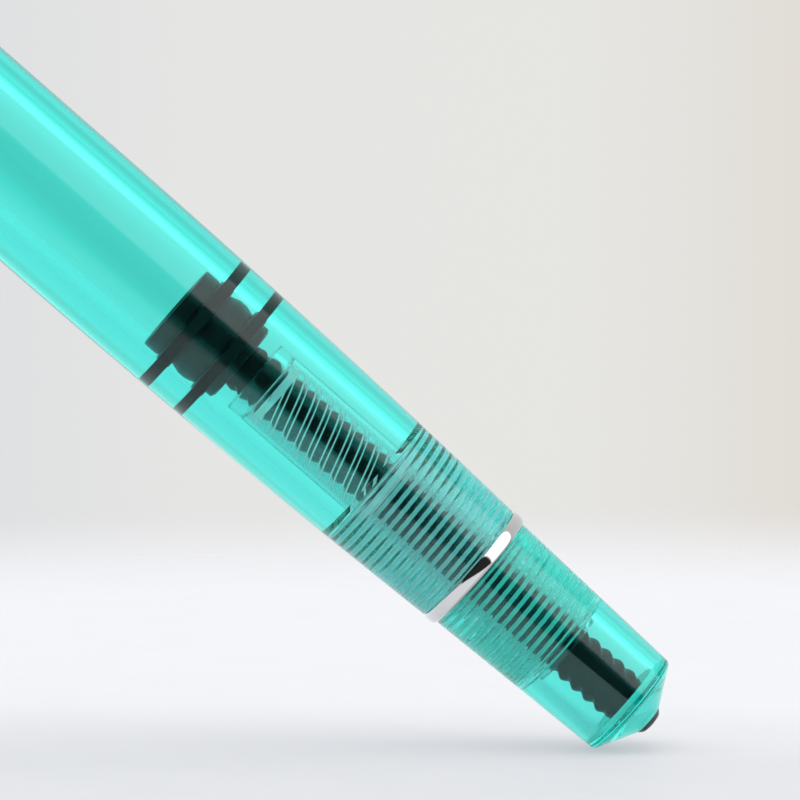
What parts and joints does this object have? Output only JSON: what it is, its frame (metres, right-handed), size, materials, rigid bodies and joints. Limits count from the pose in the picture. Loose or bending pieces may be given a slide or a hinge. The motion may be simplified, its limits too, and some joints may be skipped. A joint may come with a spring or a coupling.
{
  "type": "fountain pen",
  "caption": "Capped piston-filling fountain pen with a transparent barrel, a turning tail knob, a threaded cap with a spring clip, and chrome trim rings.",
  "frame": {"origin": "centre of the tail jewel's flat tip, on the pen's axis", "axes": "+Z along the pen's axis from the tail to the top of the cap; the clip and the upper face of the nib look along -Y"},
  "size_m": [0.0146, 0.0168, 0.1394],
  "materials": {
    "teal_plastic": "polished transparent teal acrylic",
    "guide_plastic": "clear moulded plastic with a faint grey-green tint",
    "liner_plastic": "clear moulded plastic",
    "black_plastic": "satin moulded black plastic",
    "seal_rubber": "black elastomer",
    "chrome_trim": "polished chrome plate",
    "nib_steel": "polished stainless steel",
    "jewel": "glossy dark grey"
  },
  "bodies": {
    "pen": {"barrel": "teal_plastic", "tail_ring": "chrome_trim", "piston_guide": "guide_plastic", "section": "teal_plastic", "section_seal": "seal_rubber", "section_ring": "chrome_trim", "nib_collar": "black_plastic", "feed": "black_plastic", "nib": "nib_steel"},
    "knob_thread_carrier": {"tail_jewel": "jewel"},
    "knob": {"turning_knob": "teal_plastic", "drive_sleeve": "guide_plastic"},
    "piston": {"piston_rod": "black_plastic", "piston_head": "black_plastic", "piston_rear_seal": "seal_rubber", "piston_front_seal": "seal_rubber"},
    "cap_pull_carrier": {"finial_screw": "black_plastic"},
    "cap_thread_carrier": {"inner_cap": "liner_plastic"},
    "cap": {"cap_tube": "teal_plastic", "cap_band": "chrome_trim", "cap_lip_ring": "chrome_trim", "clip_ring": "chrome_trim", "finial": "teal_plastic", "finial_jewel": "jewel"},
    "clip": {"clip_arm": "chrome_trim"}
  },
  "joints": [
    {"name": "knob_rise", "type": "slide", "parent": "pen", "child": "knob_thread_carrier", "axis": [0, 0, -1], "range_m": [0, 0.00434]},
    {"name": "knob_turn", "type": "hinge", "parent": "knob_thread_carrier", "child": "knob", "pos_m": [0, 0, 0.01], "axis": [0, 0, -1], "range_deg": [0, 2080]},
    {"name": "piston_slide", "type": "slide", "parent": "pen", "child": "piston", "axis": [0, 0, 1], "range_m": [0, 0.025]},
    {"name": "cap_pull", "type": "slide", "parent": "pen", "child": "cap_pull_carrier", "axis": [0, 0, 1], "range_m": [0, 0.075]},
    {"name": "cap_advance", "type": "slide", "parent": "cap_pull_carrier", "child": "cap_thread_carrier", "axis": [0, 0, 1], "range_m": [0, 0.0045]},
    {"name": "cap_turn", "type": "hinge", "parent": "cap_thread_carrier", "child": "cap", "pos_m": [0, 0, 0.1], "axis": [0, 0, 1], "range_deg": [0, 451]},
    {"name": "clip_lift", "type": "hinge", "parent": "cap", "child": "clip", "pos_m": [0, -0.00685, 0.1325], "axis": [-1, 0, 0], "range_deg": [0, 4], "stiffness_Nm_per_rad": 0.02}
  ],
  "couplings": [
    {"joint": "knob_turn", "follows": "piston_slide", "rad_per_m": 1451.1},
    {"joint": "knob_rise", "follows": "piston_slide", "ratio": 0.17321},
    {"joint": "cap_turn", "follows": "cap_advance", "rad_per_m": 1745.3}
  ]
}
